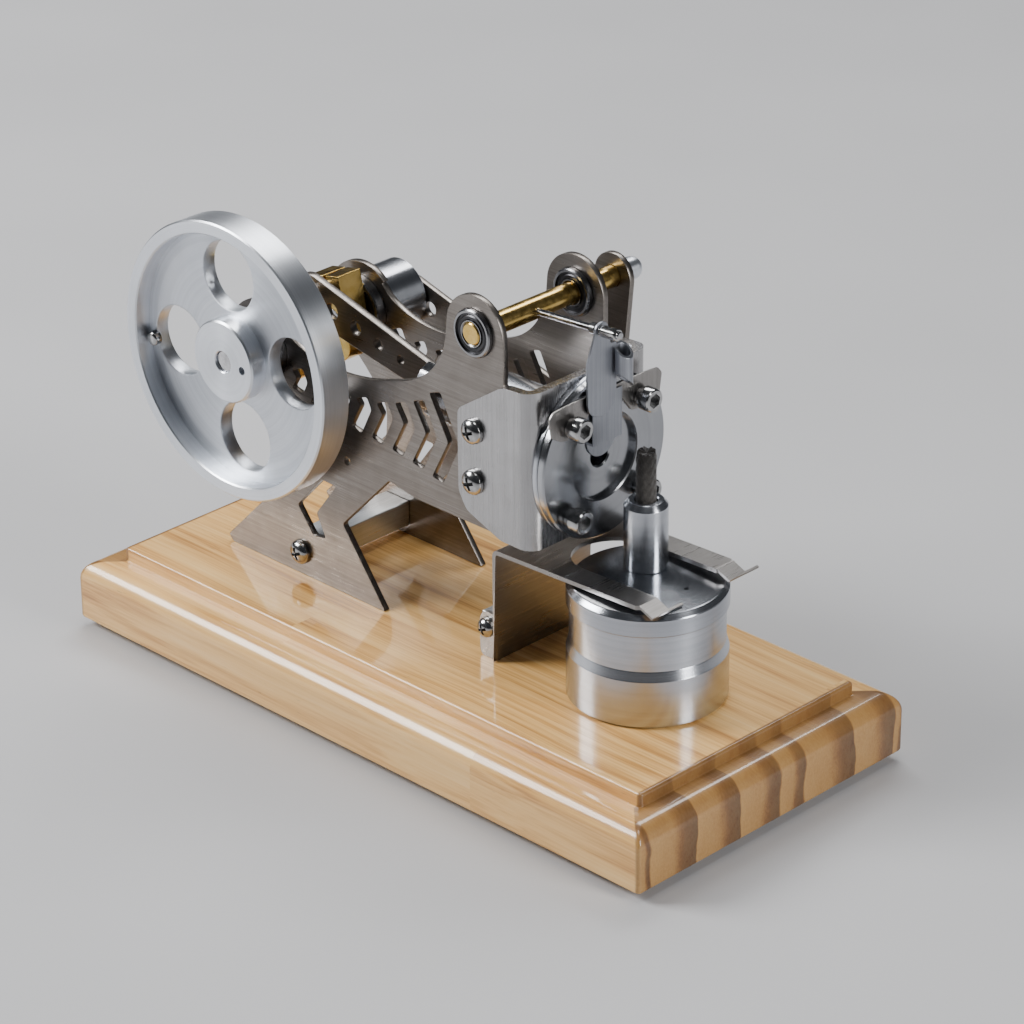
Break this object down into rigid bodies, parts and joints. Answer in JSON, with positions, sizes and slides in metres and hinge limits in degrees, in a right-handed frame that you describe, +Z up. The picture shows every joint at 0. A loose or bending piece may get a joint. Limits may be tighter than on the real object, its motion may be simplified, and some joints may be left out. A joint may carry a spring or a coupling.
{
  "type": "model flame engine",
  "caption": "Small vacuum engine on a wooden base: flywheel, crank, piston, rocker valve and a spirit burner under its port.",
  "frame": {"origin": "centre of the base, on the surface that its rubber feet stand on", "axes": "+X along the base towards the burner, +Y away from the flywheel, +Z up"},
  "size_m": [0.18, 0.085, 0.1071],
  "materials": {
    "pine": "clear gloss lacquer over laminated pine",
    "foot_rubber": "matt",
    "stainless_sheet": "brushed along the sheet",
    "turned_aluminium": "fine turned rings, satin",
    "milled_aluminium": "milled",
    "brass": "polished with fine machining marks",
    "bright_steel": "bright nickel",
    "bearing_steel": "ground steel races, dark shields",
    "wick_fibre": "charred braid"
  },
  "bodies": {
    "frame": {"base_board": "pine", "rubber_foot_1": "foot_rubber", "rubber_foot_2": "foot_rubber", "rubber_foot_3": "foot_rubber", "rubber_foot_4": "foot_rubber", "side_plate_near": "stainless_sheet", "side_plate_far": "stainless_sheet", "cross_bar": "milled_aluminium", "foot_screw_near": "bright_steel", "foot_screw_far": "bright_steel", "front_bracket": "stainless_sheet", "bracket_screw_near_bottom": "bright_steel", "bracket_screw_far_bottom": "bright_steel", "bracket_screw_near_top": "bright_steel", "bracket_screw_far_top": "bright_steel", "cylinder": "turned_aluminium", "head_plate": "turned_aluminium", "head_screw_1": "bright_steel", "head_screw_2": "bright_steel", "head_screw_3": "bright_steel", "head_screw_4": "bright_steel", "head_spacer_1": "bright_steel", "head_spacer_2": "bright_steel", "head_spacer_3": "bright_steel", "head_spacer_4": "bright_steel", "valve_guide": "stainless_sheet", "rocker_bearing_near": "bearing_steel", "rocker_bearing_far": "bearing_steel", "crank_bearing_near": "bearing_steel", "crank_bearing_far": "bearing_steel", "burner_bracket": "stainless_sheet", "burner_bar": "milled_aluminium", "burner_screw_near": "bright_steel", "burner_screw_far": "bright_steel"},
    "crank": {"crankshaft_near": "bright_steel", "crankshaft_far": "bright_steel", "crank_web_near": "brass", "crank_web_far": "brass", "crank_pin": "bright_steel", "valve_disc": "turned_aluminium", "eccentric_pin": "bright_steel", "flywheel": "turned_aluminium", "start_pin": "bright_steel"},
    "conrod": {"conrod": "stainless_sheet", "wrist_pin": "bright_steel"},
    "piston": {"piston": "bright_steel"},
    "valve_rod": {"push_rod": "stainless_sheet", "push_rod_pin": "bright_steel"},
    "rocker": {"rocker_shaft": "brass", "rocker_arm": "bright_steel", "arm_collar": "bright_steel", "arm_sleeve": "bright_steel", "rocker_lever": "stainless_sheet", "lever_nut": "bright_steel"},
    "valve": {"valve_hanger": "stainless_sheet", "valve_reed": "stainless_sheet"},
    "burner": {"burner_body": "turned_aluminium", "burner_lid": "turned_aluminium", "wick_tube": "turned_aluminium"},
    "wick": {"wick": "wick_fibre"}
  },
  "joints": [
    {"name": "crank_spin", "type": "hinge", "parent": "frame", "child": "crank", "pos_m": [-0.0533, 0.0024, 0.07395], "axis": [0, 1, 0], "continuous": true},
    {"name": "conrod_pivot", "type": "hinge", "parent": "crank", "child": "conrod", "pos_m": [-0.05475, 0.0024, 0.0808], "axis": [0, 1, 0], "continuous": true},
    {"name": "piston_slide", "type": "slide", "parent": "frame", "child": "piston", "axis": [1, 0, 0], "range_m": [-0.0044, 0.0095]},
    {"name": "push_rod_pivot", "type": "hinge", "parent": "crank", "child": "valve_rod", "pos_m": [-0.05048, 0.0307, 0.07292], "axis": [0, 1, 0], "continuous": true},
    {"name": "rocker_swing", "type": "hinge", "parent": "frame", "child": "rocker", "pos_m": [0.015, 0.0024, 0.0982], "axis": [0, 1, 0], "range_deg": [-1, 8.4]},
    {"name": "valve_slide", "type": "slide", "parent": "frame", "child": "valve", "axis": [0, 0, 1], "range_m": [-0.0037, 0.0006]},
    {"name": "burner_slide", "type": "slide", "parent": "frame", "child": "burner", "axis": [1, 0, 0], "range_m": [0, 0.06]},
    {"name": "wick_slide", "type": "slide", "parent": "burner", "child": "wick", "axis": [0, 0, 1], "range_m": [-0.002, 0.004]}
  ],
  "couplings": [
    {"joint": "conrod_pivot", "follows": "crank_spin", "ratio": -1},
    {"joint": "push_rod_pivot", "follows": "crank_spin", "ratio": -1},
    {"joint": "valve_slide", "follows": "rocker_swing", "m_per_rad": -0.0239}
  ]
}
